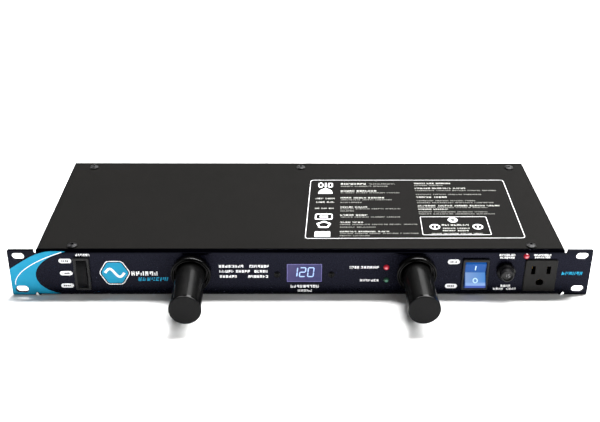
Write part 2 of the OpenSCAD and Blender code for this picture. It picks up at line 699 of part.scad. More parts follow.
// Insulated wire swept along a smooth curve through four control points
function bezier(p, t) = pow(1 - t, 3) * p[0] + 3 * t * pow(1 - t, 2) * p[1]
    + 3 * t * t * (1 - t) * p[2] + pow(t, 3) * p[3];
function unit(v) = v / norm(v);
wire_steps = 20;
wire_sides = 8;
module wire(p, r) {
    mids = [for (i = [0 : wire_steps]) bezier(p, i / wire_steps)];
    tang = [for (i = [0 : wire_steps]) unit(mids[min(i + 1, wire_steps)] - mids[max(i - 1, 0)])];
    points = [for (i = [0 : wire_steps]) let (u = unit(cross(tang[i], [0.1, 0.1, 1])), v = cross(tang[i], u))
        for (k = [0 : wire_sides - 1]) let (a = 360 * k / wire_sides) mids[i] + r * (cos(a) * u + sin(a) * v)];
    sides = [for (i = [0 : wire_steps - 1], k = [0 : wire_sides - 1])
        let (a = i * wire_sides, n = (k + 1) % wire_sides)
        [a + k, a + n, a + wire_sides + n, a + wire_sides + k]];
    near_end = [for (k = [wire_sides - 1 : -1 : 0]) k];
    far_end = [for (k = [0 : wire_sides - 1]) wire_steps * wire_sides + k];
    polyhedron(points, concat(sides, [near_end, far_end]), convexity = 4);
}

wire_r = 1.6;
wire_gap = 0.3;
tab_back = switch_depth - panel_t + 8 + wire_gap;
breaker_tab_back = 38 + wire_gap;
block_front = 113 - wire_gap;
block_back = 127 + wire_gap;
block_z = floor_top + 9;

module live_wires() color("#202020") {
    wire([[gland_x + 11, block_front, block_z], [gland_x + 11, 80, block_z], [breaker_x, 70, breaker_z - 9.8],
        [breaker_x, breaker_tab_back, breaker_z - 9.8]], wire_r);
    wire([[breaker_x, breaker_tab_back, breaker_z + 6.2], [breaker_x, 70, breaker_z + 6.2],
        [power_x + 5, 62, power_z + 8], [power_x + 5, tab_back, power_z + 8]], wire_r);
}

module neutral_wires() color("#e8e8e8")
    wire([[gland_x, block_front, block_z], [gland_x, 80, block_z], [power_x - 5, 70, power_z - 8],
        [power_x - 5, tab_back, power_z - 8]], wire_r);

module earth_wire() color("#2f8a3c")
    wire([[gland_x - 11, block_back, block_z], [gland_x - 8, 148, block_z - 6], [stud_x, 138, gland_z],
        [stud_x, body_d - 8 - wire_gap, gland_z]], wire_r);

front_panel();
chassis_base();
rear_panel();
top_cover();
cover_screws();
base_screws();
display_window();
voltmeter_digits();
voltmeter_board();
display_screws();
led_protected();
led_grounded();
led_outlet();
indicator_board();
lamp_left_bezel();
lamp_left_guide();
lamp_left_slider();
lamp_left_tube();
lamp_left_cap();
lamp_left_lens();
lamp_left_board();
lamp_left_pivot();
lamp_left_clip();
lamp_right_bezel();
lamp_right_guide();
lamp_right_slider();
lamp_right_tube();
lamp_right_cap();
lamp_right_lens();
lamp_right_board();
lamp_right_pivot();
lamp_right_clip();
dimmer_housing();
dimmer_rocker();
dimmer_terminals();
power_switch_housing();
power_rocker();
power_switch_terminals();
breaker_body();
breaker_nut();
breaker_button();
breaker_terminals();
front_outlet();
front_outlet_contacts();
rear_block_left();
rear_block_right();
rear_contacts_left();
rear_contacts_right();
cord_gland();
earth_stud();
terminal_block();
filter_board();
filter_choke();
filter_capacitors();
varistors();
board_supports();
lamp_supply();
live_wires();
neutral_wires();
earth_wire();
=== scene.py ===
import json
import math
import random

import bmesh
import bpy
from mathutils import Matrix, Vector
from mathutils.geometry import tessellate_polygon


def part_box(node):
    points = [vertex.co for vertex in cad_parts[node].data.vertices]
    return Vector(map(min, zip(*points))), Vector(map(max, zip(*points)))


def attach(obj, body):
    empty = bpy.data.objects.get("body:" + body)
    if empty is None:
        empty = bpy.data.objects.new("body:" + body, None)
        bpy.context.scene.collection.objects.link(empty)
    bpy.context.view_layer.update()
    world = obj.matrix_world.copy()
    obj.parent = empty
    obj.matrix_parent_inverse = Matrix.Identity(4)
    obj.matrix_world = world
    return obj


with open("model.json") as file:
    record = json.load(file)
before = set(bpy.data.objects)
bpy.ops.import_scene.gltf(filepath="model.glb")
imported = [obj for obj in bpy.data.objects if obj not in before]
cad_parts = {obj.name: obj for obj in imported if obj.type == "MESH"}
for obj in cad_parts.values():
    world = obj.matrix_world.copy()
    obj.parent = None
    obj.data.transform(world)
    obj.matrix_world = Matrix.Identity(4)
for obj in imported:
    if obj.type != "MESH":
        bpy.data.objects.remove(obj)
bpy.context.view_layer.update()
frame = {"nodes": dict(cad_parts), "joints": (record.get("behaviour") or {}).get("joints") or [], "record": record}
nodes = frame["nodes"]
record = frame["record"]
joints = {j["name"]: j for j in frame["joints"]}
print("frame loaded,", len(nodes), "CAD nodes")

mm = 0.001
# The middle span that most noise values fall in, and how softly specks fade in
noiseSpan = (0.3, 0.7)
speckFade = 0.06


def linear(hexText):
    parts = [int(hexText[i:i + 2], 16) / 255 for i in (0, 2, 4)]
    return [c / 12.92 if c <= 0.04045 else ((c + 0.055) / 1.055) ** 2.4 for c in parts] + [1.0]


def addNode(tree, kind, inputs, **settings):
    node = tree.nodes.new("ShaderNode" + kind)
    for key, value in settings.items():
        setattr(node, key, value)
    for key, value in inputs.items():
        if isinstance(value, bpy.types.NodeSocket):
            tree.links.new(value, node.inputs[key])
        else:
            node.inputs[key].default_value = value
    return node


def mixColours(tree, share, first, second):
    return addNode(tree, "Mix", {0: share, 6: first, 7: second}, data_type="RGBA").outputs[2]


def smoothStep(tree, value, span):
    step = addNode(tree, "MapRange", {"Value": value, 1: span[0], 2: span[1]},
                   interpolation_type="SMOOTHSTEP")
    return step.outputs[0]


# A finish is two shades in soft patches, and a fine grain that sets both the roughness and the bump.
# Sizes are in millimetres; stretch makes the grain longer along an axis, as brushing or turning does.
def finish(name, look):
    material = bpy.data.materials.new(name)
    material.use_nodes = True
    tree = material.node_tree
    shader = tree.nodes["Principled BSDF"]
    place = addNode(tree, "TexCoord", {}).outputs["Object"]
    patches = addNode(tree, "TexNoise", {"Vector": place, "Scale": 1 / (look["patchMm"] * mm), "Detail": 3.0})
    colour = mixColours(tree, patches.outputs["Fac"], linear(look["deep"]), linear(look["light"]))
    stretched = addNode(tree, "Mapping", {"Vector": place, "Scale": look.get("stretch", (1, 1, 1))})
    grain = addNode(tree, "TexNoise", {"Vector": stretched.outputs[0], "Scale": 1 / (look["grainMm"] * mm),
                                       "Detail": 2.0})
    if "speck" in look:
        dots = addNode(tree, "TexNoise", {"Vector": place, "Scale": 1 / (look["speckMm"] * mm),
                                          "Detail": 1.0})
        picked = addNode(tree, "MapRange", {"Value": dots.outputs["Fac"], 1: look["speckFrom"],
                                            2: look["speckFrom"] + speckFade, 3: 0.0, 4: look["speckShare"]})
        colour = mixColours(tree, picked.outputs[0], colour, linear(look["speck"]))
    tree.links.new(colour, shader.inputs["Base Color"])
    rough = addNode(tree, "MapRange", {"Value": grain.outputs["Fac"], 1: noiseSpan[0], 2: noiseSpan[1],
                                       3: look["rough"][0], 4: look["rough"][1]})
    tree.links.new(rough.outputs[0], shader.inputs["Roughness"])
    bump = addNode(tree, "Bump", {"Height": grain.outputs["Fac"], "Strength": 1.0,
                                  "Distance": look["grainHighMm"] * mm})
    tree.links.new(bump.outputs[0], shader.inputs["Normal"])
    for key, socket in (("metallic", "Metallic"), ("specular", "Specular IOR Level"), ("coat", "Coat Weight"),
                        ("ior", "IOR"), ("through", "Transmission Weight"), ("soft", "Subsurface Weight")):
        if key in look:
            shader.inputs[socket].default_value = look[key]
    if "tint" in look:
        shader.inputs["Specular Tint"].default_value = linear(look["tint"])
    if "glow" in look:
        shader.inputs["Emission Color"].default_value = linear(look["glow"])
        shader.inputs["Emission Strength"].default_value = look["glowPower"]
    return material


finishes = {}

# Satin polyurethane sprayed on steel: near black with a faint blue cast and a very low orange peel
finishes["panel_paint"] = finish("satinBlackPaint", {
    "deep": "020208", "light": "06060e", "patchMm": 24, "rough": (0.22, 0.30), "specular": 0.085,
    "tint": "ced2ff", "grainMm": 1.2, "grainHighMm": 0.002,
    "speck": "14141a", "speckMm": 0.9, "speckFrom": 0.70, "speckShare": 0.25})


# Past a given place along an axis the finish turns glossier, and its colour is painted blacker there as painted
# shade
def glossyPast(material, axis, start, full, look):
    tree = material.node_tree
    shader = tree.nodes["Principled BSDF"]
    parts = addNode(tree, "SeparateXYZ", {0: addNode(tree, "TexCoord", {}).outputs["Object"]})
    past = addNode(tree, "MapRange", {"Value": parts.outputs[axis], 1: start, 2: full})
    shade = shader.inputs["Base Color"].links[0].from_socket
    paintedShade = mixColours(tree, past.outputs[0], shade, linear(look["shade"]))
    tree.links.new(paintedShade, shader.inputs["Base Color"])
    rough = shader.inputs["Roughness"].links[0].from_socket
    sharper = addNode(tree, "Mix", {0: past.outputs[0], 2: rough, 3: look["rough"]})
    tree.links.new(sharper.outputs[0], shader.inputs["Roughness"])


# Over the fold along the panel's top the paint is glossier, and its colour there is painted black: painted shade
# for the black band the fold shows
foldGlossAndShade = {"from": 17.2, "full": 17.7, "shade": "000001", "rough": 0.07}
glossyPast(finishes["panel_paint"], 2, foldGlossAndShade["from"] * mm, foldGlossAndShade["full"] * mm, foldGlossAndShade)

# Baked powder coat on steel: warm black, fine pebbled grain that spreads every reflection
finishes["cover_powder_coat"] = finish("blackPowderCoat", {
    "deep": "0a0a09", "light": "0e0d0c", "patchMm": 40, "rough": (0.50, 0.60), "specular": 0.015,
    "grainMm": 0.5, "grainHighMm": 0.008, "speck": "211f1d", "speckMm": 0.8, "speckFrom": 0.69,
    "speckShare": 0.3})

finishes["chassis_paint"] = finish("blackPowderCoatRear", {
    "deep": "201f1d", "light": "2a2927", "patchMm": 30, "rough": (0.50, 0.64), "specular": 0.3,
    "grainMm": 0.5, "grainHighMm": 0.012, "speck": "4c4a46", "speckMm": 0.8, "speckFrom": 0.69,
    "speckShare": 0.35})

# Black oxide on steel: almost black, with small grey glints on the domes and socket rims
finishes["black_screws"] = finish("blackOxideSteel", {
    "deep": "040405", "light": "09090a", "patchMm": 1.6, "rough": (0.30, 0.42), "specular": 0.1,
    "grainMm": 0.35, "grainHighMm": 0.003})

# Light grey moulded block behind the display window
finishes["digit_block"] = finish("paleMouldedAbs", {
    "deep": "b8b6cc", "light": "c6c4da", "patchMm": 6, "rough": (0.4, 0.5), "grainMm": 0.4,
    "grainHighMm": 0.004})

# Green solder mask over glass cloth: the weave shows as a low bump, copper as lighter patches
finishes["circuit_board"] = finish("solderMaskedBoard", {
    "deep": "0f3d22", "light": "1c6337", "patchMm": 3, "rough": (0.28, 0.42), "grainMm": 0.6,
    "grainHighMm": 0.006, "speck": "9aa08c", "speckMm": 2.2, "speckFrom": 0.66, "speckShare": 0.7})

# Black nylon from a spark-eroded mould: matte, with a fine even texture
finishes["switch_nylon"] = finish("blackMouldedNylon", {
    "deep": "08080a", "light": "0e0e11", "patchMm": 7, "rough": (0.24, 0.34), "specular": 0.16,
    "grainMm": 0.3, "grainHighMm": 0.002})

finishes["rocker_black"] = finish("blackPolishedNylon", {
    "deep": "040406", "light": "08080a", "patchMm": 6, "rough": (0.30, 0.40), "specular": 0.06,
    "grainMm": 0.35, "grainHighMm": 0.003})

# Pressed phenolic: hard dense black with a dull skin
finishes["breaker_phenolic"] = finish("pressedPhenolic", {
    "deep": "040405", "light": "09090a", "patchMm": 5, "rough": (0.24, 0.34), "specular": 0.14,
    "grainMm": 0.4, "grainHighMm": 0.005})

# Moulded button, rubbed to a lighter grey by fingers
finishes["breaker_button"] = finish("rubbedGreyNylon", {
    "deep": "09090a", "light": "161618", "patchMm": 3, "rough": (0.34, 0.46), "specular": 0.2,
    "grainMm": 0.3, "grainHighMm": 0.008})

# Outlet face in heat-proof nylon: brown-grey, slightly glossy, faint flow marks
finishes["outlet_nylon"] = finish("brownGreyNylon", {
    "deep": "090807", "light": "0f0e0d", "patchMm": 8, "rough": (0.28, 0.38), "specular": 0.11,
    "grainMm": 0.35, "grainHighMm": 0.006})

finishes["rear_block_nylon"] = finish("blackOutletNylon", {
    "deep": "161616", "light": "202020", "patchMm": 9, "rough": (0.38, 0.52), "specular": 0.4,
    "grainMm": 0.35, "grainHighMm": 0.006})

# Stamped spring brass: warm yellow, rolled grain, dulled in patches
finishes["brass_contacts"] = finish("stampedBrass", {
    "deep": "a07f3e", "light": "d2ae62", "patchMm": 4, "rough": (0.24, 0.40), "metallic": 1.0,
    "grainMm": 0.8, "stretch": (1, 0.15, 1), "grainHighMm": 0.003})

finishes["gland_nylon"] = finish("bushingNylon", {
    "deep": "131313", "light": "1c1c1c", "patchMm": 5, "rough": (0.42, 0.55), "specular": 0.35,
    "grainMm": 0.35, "grainHighMm": 0.008})

# Yellow passivated zinc on steel: pale gold with pink and green drift
finishes["zinc_steel"] = finish("yellowZincSteel", {
    "deep": "a89a72", "light": "d6caa2", "patchMm": 2.5, "rough": (0.22, 0.38), "metallic": 1.0,
    "grainMm": 0.5, "grainHighMm": 0.004})

# Undyed nylon: milky cream, waxy
finishes["terminal_nylon"] = finish("naturalNylon", {
    "deep": "ddd8c6", "light": "e9e5d6", "patchMm": 6, "rough": (0.36, 0.5), "soft": 0.1,
    "grainMm": 0.4, "grainHighMm": 0.005})

# Enamelled copper on a ferrite core: red-brown lacquer over metal
finishes["copper_winding"] = finish("enamelledCopper", {
    "deep": "7c3f1f", "light": "b9683a", "patchMm": 3, "rough": (0.2, 0.32), "metallic": 1.0, "coat": 0.5,
    "grainMm": 0.5, "grainHighMm": 0.004})

# Yellow flame-proof box film capacitor
finishes["capacitor_film"] = finish("yellowPolyester", {
    "deep": "c29a1a", "light": "d8b12a", "patchMm": 6, "rough": (0.3, 0.42), "grainMm": 0.5,
    "grainHighMm": 0.005})

# Dipped epoxy: thick glossy blue skin with a slightly lumpy surface
finishes["varistor_blue"] = finish("dippedBlueEpoxy", {
    "deep": "1d4686", "light": "2a5ca6", "patchMm": 5, "rough": (0.18, 0.3), "coat": 0.4,
    "grainMm": 2.2, "grainHighMm": 0.05})

# Potting resin in a black case
finishes["potted_supply"] = finish("pottedBlackEpoxy", {
    "deep": "202226", "light": "2b2d32", "patchMm": 7, "rough": (0.3, 0.45), "grainMm": 1.4,
    "grainHighMm": 0.02})

# Soft PVC insulation: dull with a faint drawn grain
for slotName, deep, light in (("wire_black", "171717", "242424"), ("wire_white", "cfcfca", "e2e2de"),
                              ("wire_green", "1f6a30", "2f8741")):
    finishes[slotName] = finish("softPvc_" + slotName, {
        "deep": deep, "light": light, "patchMm": 9, "rough": (0.42, 0.55), "grainMm": 0.5,
        "stretch": (1, 0.2, 1), "grainHighMm": 0.006})

# Black anodised aluminium, turned to a tight satin
finishes["lamp_bezel_metal"] = finish("blackAnodisedAluminium", {
    "deep": "020202", "light": "050505", "patchMm": 6, "rough": (0.14, 0.20), "specular": 0.12,
    "grainMm": 0.25, "grainHighMm": 0.001})

finishes["guide_nylon"] = finish("greyMouldedNylon", {
    "deep": "303033", "light": "3d3d40", "patchMm": 8, "rough": (0.45, 0.58), "grainMm": 0.4,
    "grainHighMm": 0.008})

# Natural acetal: off-white, greasy-smooth
finishes["slider_acetal"] = finish("naturalAcetal", {
    "deep": "c2beb0", "light": "d2cec0", "patchMm": 6, "rough": (0.26, 0.36), "grainMm": 0.5,
    "grainHighMm": 0.003})

# Satin black lacquer on aluminium tube: a broad soft highlight runs along its top
finishes["lamp_tube_paint"] = finish("satinBlackLacquer", {
    "deep": "040404", "light": "080808", "patchMm": 12, "rough": (0.18, 0.25), "specular": 0.04,
    "grainMm": 0.9, "grainHighMm": 0.001})

# Moulded cap in black nylon: its face is matte grey-black and close-grained, its side is polished and painted
# darker, a painted shade
finishes["lamp_cap_matte"] = finish("matteBlackNylon", {
    "deep": "060607", "light": "0a0a0b", "patchMm": 9, "rough": (0.5, 0.62), "specular": 0.09,
    "grainMm": 0.3, "grainHighMm": 0.004})
capGlossAndShade = {"from": 0.3, "full": 0.8, "shade": "020202", "rough": 0.1}
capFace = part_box("lamp_left_cap")[0].y
glossyPast(finishes["lamp_cap_matte"], 1, capFace + capGlossAndShade["from"] * mm, capFace + capGlossAndShade["full"] * mm,
           capGlossAndShade)

# Clear polycarbonate with a frosted inside, so the lamps behind it blur
finishes["lens_clear"] = finish("frostedPolycarbonate", {
    "deep": "dfe6ea", "light": "f0f5f8", "patchMm": 6, "rough": (0.18, 0.3), "through": 0.85, "ior": 1.58,
    "grainMm": 0.6, "grainHighMm": 0.01})

# White solder mask with warm white lamps under a phosphor cap
finishes["lamp_led_board"] = finish("whiteSolderMask", {
    "deep": "dcdad0", "light": "efede4", "patchMm": 2.5, "rough": (0.35, 0.5), "grainMm": 0.5,
    "grainHighMm": 0.004, "speck": "d9c25e", "speckMm": 3.5, "speckFrom": 0.62, "speckShare": 0.8})
print("finishes made:", len(finishes))


# A round lamp in tinted epoxy: the die glows at the middle and the tint deepens to the rim
def lampEpoxy(name, node, look):
    low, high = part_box(node)
    middle = (low + high) / 2
    material = finish(name, look)
    tree = material.node_tree
    shader = tree.nodes["Principled BSDF"]
    place = addNode(tree, "TexCoord", {}).outputs["Object"]
    offset = addNode(tree, "VectorMath", {0: place, 1: middle}, operation="SUBTRACT")
    flat = addNode(tree, "VectorMath", {0: offset.outputs[0], 1: (1, 0, 1)}, operation="MULTIPLY")
    far = addNode(tree, "VectorMath", {0: flat.outputs[0]}, operation="LENGTH")
    share = addNode(tree, "MapRange", {"Value": far.outputs["Value"], 1: 0.0, 2: (high.x - low.x) / 2})
    ramp = addNode(tree, "ValToRGB", {"Fac": share.outputs[0]})
    ramp.color_ramp.elements[0].color = linear(look["core"])
    ramp.color_ramp.elements[0].position = look["coreShare"]
    ramp.color_ramp.elements[1].color = linear(look["rim"])
    ramp.color_ramp.elements[1].position = 1.0
    ring = ramp.color_ramp.elements.new(look["ringShare"])
    ring.color = linear(look["ring"])
    tree.links.new(ramp.outputs[0], shader.inputs["Emission Color"])
    shader.inputs["Emission Strength"].default_value = look["power"]
    return material


litRed = {"deep": "3c060c", "light": "560a12", "patchMm": 3, "rough": (0.12, 0.2), "coat": 0.3,
          "grainMm": 0.8, "grainHighMm": 0.002,
          "core": "ff9aa6", "coreShare": 0.16, "ring": "c41c34", "ringShare": 0.5, "rim": "2c0408",
          "power": 0.9}
dimGreen = {"deep": "06140e", "light": "0b2016", "patchMm": 3, "rough": (0.12, 0.2), "coat": 0.3,
            "grainMm": 0.8, "grainHighMm": 0.002,
            "core": "4c9c7c", "coreShare": 0.22, "ring": "12402c", "ringShare": 0.55, "rim": "010503",
            "power": 0.6}
ledLooks = {"led_protected": litRed, "led_outlet": litRed, "led_grounded": dimGreen}


# Tinted acrylic lit from behind: violet on the left drifting to blue round the digits
def tintedAcrylic(look):
    low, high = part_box("display_window")
    material = finish("tintedAcrylic", look)
    tree = material.node_tree
    shader = tree.nodes["Principled BSDF"]
    place = addNode(tree, "TexCoord", {}).outputs["Object"]
    across = addNode(tree, "SeparateXYZ", {0: place})
    share = addNode(tree, "MapRange", {"Value": across.outputs[0], 1: low.x, 2: high.x})
    drift = addNode(tree, "TexNoise", {"Vector": place, "Scale": 1 / (look["driftMm"] * mm), "Detail": 1.0})
    mixed = addNode(tree, "Math", {0: share.outputs[0], 1: drift.outputs["Fac"]}, operation="ADD")
    lowest, highest = look["tintSpan"]
    lowered = addNode(tree, "MapRange", {"Value": mixed.outputs[0], 1: lowest, 2: highest})
    tint = mixColours(tree, lowered.outputs[0], linear(look["left"]), linear(look["right"]))
    tree.links.new(tint, shader.inputs["Emission Color"])
    shader.inputs["Emission Strength"].default_value = look["power"]
    return material


displayLook = {"deep": "0c0a20", "light": "120e2a", "specular": 0.2, "patchMm": 10, "rough": (0.12, 0.2),
               "grainMm": 2, "grainHighMm": 0.002, "left": "6e60ae", "right": "3c4494", "driftMm": 7,
               "tintSpan": (0.35, 1.5), "power": 0.36}


# Translucent polycarbonate rocker with a lamp inside: the lamp's deep blue glow at the top. The paler lower half,
# lightest on the left, is partly that glow and partly a painted reflection; the pale crest is a painted highlight,
# and the violet foot and the dark sides are painted shade. The spans are shares of its height.
def litPolycarbonate(look):
    low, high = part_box("power_rocker")
    material = finish("bluePolycarbonate", look)
    tree = material.node_tree
    shader = tree.nodes["Principled BSDF"]
    place = addNode(tree, "TexCoord", {}).outputs["Object"]
    parts = addNode(tree, "SeparateXYZ", {0: place})
    across = addNode(tree, "MapRange", {"Value": parts.outputs[0], 1: low.x, 2: high.x})
    upward = addNode(tree, "MapRange", {"Value": parts.outputs[2], 1: low.z, 2: high.z})
    paleSheen = mixColours(tree, across.outputs[0], linear(look["sheenLeft"]), linear(look["sheenRight"]))
    glow = mixColours(tree, smoothStep(tree, upward.outputs[0], look["topSpan"]), paleSheen, linear(look["top"]))
    # Painted highlight along the crest, then painted shade on the foot
    body = mixColours(tree, smoothStep(tree, upward.outputs[0], look["crestSpan"]), linear(look["crestHighlight"]),
                      glow)
    last = mixColours(tree, smoothStep(tree, upward.outputs[0], look["footSpan"]), linear(look["footShade"]), body)
    # The sides are painted shade, darker towards both edges
    fromMiddle = addNode(tree, "Math", {0: parts.outputs[0], 1: (low.x + high.x) / 2}, operation="SUBTRACT")
    outward = addNode(tree, "Math", {0: fromMiddle.outputs[0]}, operation="ABSOLUTE")
    side = smoothStep(tree, outward.outputs[0], [reach * mm for reach in look["sideSpanMm"]])
    shaded = mixColours(tree, side, last, linear(look["side"]))
    tree.links.new(shaded, shader.inputs["Emission Color"])
    shader.inputs["Emission Strength"].default_value = look["power"]
    return material


# Glow colours of the lamp inside, with painted light: the sheen pair a painted reflection, the crest a painted
# highlight, foot and side painted shade
rockerLook = {"deep": "0c2a58", "light": "12346a", "patchMm": 5, "rough": (0.2, 0.3), "specular": 0.14,
              "grainMm": 0.5, "grainHighMm": 0.003, "side": "04122c", "sideSpanMm": (7.9, 8.7),
              "top": "0c4a8c", "sheenLeft": "8ca6cc", "sheenRight": "4c88c8", "footShade": "40509c",
              "crestHighlight": "94b4e0", "topSpan": (0.54, 0.60), "crestSpan": (0.22, 0.29), "footSpan": (0.15, 0.18),
              "power": 1.0}

finishes["display_acrylic"] = tintedAcrylic(displayLook)
finishes["rocker_blue"] = litPolycarbonate(rockerLook)
for part in record["subparts"]:
    name = part["node"]
    if name in ledLooks:
        material = lampEpoxy("epoxyLamp_" + name, name, ledLooks[name])
    else:
        material = finishes[part["material_slot"]]
    for holder in nodes[name].material_slots:
        holder.material = material
print("finishes on every CAD node")


# Flat shapes in millimetres, as loops: the outline first, then its holes
def rectangle(u, v, width, height):
    a, b = width / 2, height / 2
    return [(u - a, v - b), (u + a, v - b), (u + a, v + b), (u - a, v + b)]


def roundedBox(u, v, width, height, radius, steps=6):
    loop = []
    for k, (sx, sy) in enumerate(((1, 1), (-1, 1), (-1, -1), (1, -1))):
        for i in range(steps + 1):
            angle = math.radians(90 * k + 90 * i / steps)
            loop.append((u + sx * (width / 2 - radius) + radius * math.cos(angle),
                         v + sy * (height / 2 - radius) + radius * math.sin(angle)))
    return loop


def ellipse(u, v, a, b, tilt=0.0, start=0.0, end=360.0, steps=48, closed=True):
    loop = []
    count = steps if closed else steps + 1
    for i in range(count):
        angle = math.radians(start + (end - start) * i / steps)
        x, y = a * math.cos(angle), b * math.sin(angle)
        t = math.radians(tilt)
        loop.append((u + x * math.cos(t) - y * math.sin(t), v + x * math.sin(t) + y * math.cos(t)))
    return loop


def polygonRound(u, v, radius, sides, corner, turn=0.0, steps=4):
    loop = []
    inset = corner / math.cos(math.pi / sides)
    for k in range(sides):
        middle = 2 * math.pi * k / sides + math.radians(turn)
        cu, cv = u + (radius - inset) * math.cos(middle), v + (radius - inset) * math.sin(middle)
        for i in range(steps + 1):
            angle = middle + math.pi / sides * (2 * i / steps - 1)
            loop.append((cu + corner * math.cos(angle), cv + corner * math.sin(angle)))
    return loop


# A line of even width along points, as one outline
def stroke(points, width, taper=(1.0, 1.0)):
    left, right = [], []
    last = len(points) - 1
    for i, (u, v) in enumerate(points):
        before, after = points[max(i - 1, 0)], points[min(i + 1, last)]
        du, dv = after[0] - before[0], after[1] - before[1]
        size = math.hypot(du, dv)
        half = width / 2 * (taper[0] + (taper[1] - taper[0]) * i / last)
        left.append((u - dv / size * half, v + du / size * half))
        right.append((u + dv / size * half, v - du / size * half))
    return right + left[::-1]


def area(loop):
    return sum(a[0] * b[1] - b[0] * a[1] for a, b in zip(loop, loop[1:] + loop[:1])) / 2


# A film of ink: each shape becomes a thin closed slab, sunk a little into what it is printed on.
# Cuts are heights where the film is split first, so that it can follow a fold.
def inkFilm(name, shapes, place, body, material, low=-0.02, high=0.05, cuts=()):
    sheet = bmesh.new()
    for shape in shapes:
        loops = [loop if (area(loop) > 0) == (k == 0) else loop[::-1] for k, loop in enumerate(shape)]
        flat = [sheet.verts.new((u, v, 0)) for loop in loops for u, v in loop]
        for a, b, c in tessellate_polygon([[Vector((u, v, 0)) for u, v in loop] for loop in loops]):
            if (flat[b].co - flat[a].co).cross(flat[c].co - flat[a].co).z < 0:
                b, c = c, b
            sheet.faces.new((flat[a], flat[b], flat[c]))
    for v in cuts:
        bmesh.ops.bisect_plane(sheet, geom=sheet.verts[:] + sheet.edges[:] + sheet.faces[:],
                               plane_co=(0, v, 0), plane_no=(0, 1, 0))
    sheet.verts.index_update()
    count = len(sheet.verts)
    points = [place(p.co.x, p.co.y, h) for h in (low, high) for p in sheet.verts]
    faces = []
    for face in sheet.faces:
        ids = [p.index for p in face.verts]
        faces.append([i + count for i in ids])
        faces.append(ids[::-1])
    for line in sheet.edges:
        if line.is_boundary:
            corner = line.link_loops[0]
            a, b = corner.vert.index, corner.link_loop_next.vert.index
            faces.append([a, b, b + count, a + count])
    sheet.free()
    mesh = bpy.data.meshes.new(name)
    mesh.from_pydata(points, [], faces)
    mesh.materials.append(material)
    piece = bpy.data.objects.new(name, mesh)
    bpy.context.scene.collection.objects.link(piece)
    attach(piece, body)


# Silk-screen epoxy ink, drawn over the paint: dense, a little uneven, with a soft gloss
whiteInk = finish("whiteScreenInk", {"deep": "f2f2f4", "light": "ffffff", "patchMm": 2, "rough": (0.4, 0.55),
                                     "specular": 0.2, "grainMm": 0.3, "grainHighMm": 0.004})
cyanInk = finish("cyanScreenInk", {"deep": "148cb2", "light": "2296bd", "patchMm": 9, "rough": (0.4, 0.5),
                                   "specular": 0.1, "grainMm": 0.4, "grainHighMm": 0.004})
blackInk = finish("blackScreenInk", {"deep": "15151a", "light": "1c1c22", "patchMm": 5, "rough": (0.45, 0.55),
                                     "specular": 0.2, "grainMm": 0.3, "grainHighMm": 0.004})

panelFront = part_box("front_panel")[0].y
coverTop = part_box("top_cover")[1].z


# The panel's face is flat up to the fold along its top; sizes are in millimetres
fold = {"radius": 3.4, "from": 18.45, "reach": 217.6, "cuts": (18.45, 18.9, 19.35, 19.8, 20.25, 20.7)}


def onPanel(u, v, h):
    if abs(u) > fold["reach"] or v < fold["from"]:
        return Vector((u * mm, panelFront - h * mm, v * mm))
    rise = (v - fold["from"]) / fold["radius"]
    back = fold["radius"] * (1 - math.sqrt(1 - rise * rise)) - h * math.sqrt(1 - rise * rise)
    return Vector((u * mm, panelFront + back * mm, (v + h * rise) * mm))


# Stand-in words: blocks cut like letters, but none of them a letter
def blockWord(rng, u, v, width, height, lean=0.0, rows=3, open=0.3):
    shapes = []
    glyph = height * 0.8
    count = max(2, round(width / (glyph * 1.22)))
    pitch = width / count
    for k in range(count):
        left = u - width / 2 + k * pitch
        wide = pitch * rng.uniform(0.66, 0.84)
        for r in range(rows):
            bottom = v - height / 2 + r * height / rows
            tall = height / rows * 0.94
            kind = rng.random()
            if kind < open:
                spans = [(0, 0.36), (0.64, 1)]
            elif kind < open + 0.2:
                spans = [(0, 0.4)] if rng.random() < 0.5 else [(0.6, 1)]
            else:
                spans = [(0, 1)]
            for a, b in spans:
                box = [(left + wide * a, bottom), (left + wide * b, bottom),
                       (left + wide * b, bottom + tall), (left + wide * a, bottom + tall)]
                shapes.append([[(x + lean * (y - v), y) for x, y in box]])
    return shapes


# Panel print, left end: a cyan sweep with a thin white arc
sweep = {"dark": (-183.6, 0.1, 36.5, 21.6, 7.2), "line": (-175.5, 1.3, 63.5, 23.4, 12.9), "lineMm": 0.6,
         "darkArc": (93, 262), "lineArc": (100, 200), "lineLow": -12.2, "lineTaper": (1.3, 0.9),
         "highest": 20.2,
         "outer": [(-240.8, 3.3), (-238.7, 5.1), (-233.5, 8.6), (-228.3, 12.0), (-223.1, 15.2),
                   (-218.8, 17.4), (-214.5, 19.0), (-210.0, 20.1), (-206.0, 20.35), (-197.4, 20.35)],
         "edgeLeft": -240.9, "edgeLow": -21.45, "foldLow": -20.4,
         "slot": (-232.55, -15.875, 11.3, 6.8), "vee": (-220.7, 4.4, 3.2)}


def sweepShapes(look):
    start, end = look["darkArc"]
    inner = [p for p in ellipse(*look["dark"], start=start, end=end, steps=40, closed=False)
             if look["foldLow"] <= p[1] <= look["highest"]]
    veeU, veeWide, veeDeep = look["vee"]
    low = look["edgeLow"]
    outline = list(look["outer"]) + inner
    outline += [(inner[-1][0] + 0.4, look["foldLow"]), (veeU + veeWide / 2 + 0.3, look["foldLow"]),
                (veeU, low + veeDeep), (veeU - veeWide / 2, low), (look["edgeLeft"] + 1.2, low),
                (look["edgeLeft"], low + 1.2)]
    u, v, wide, tall = look["slot"]
    return [[outline, roundedBox(u, v, wide, tall, tall / 2 - 0.01)]]


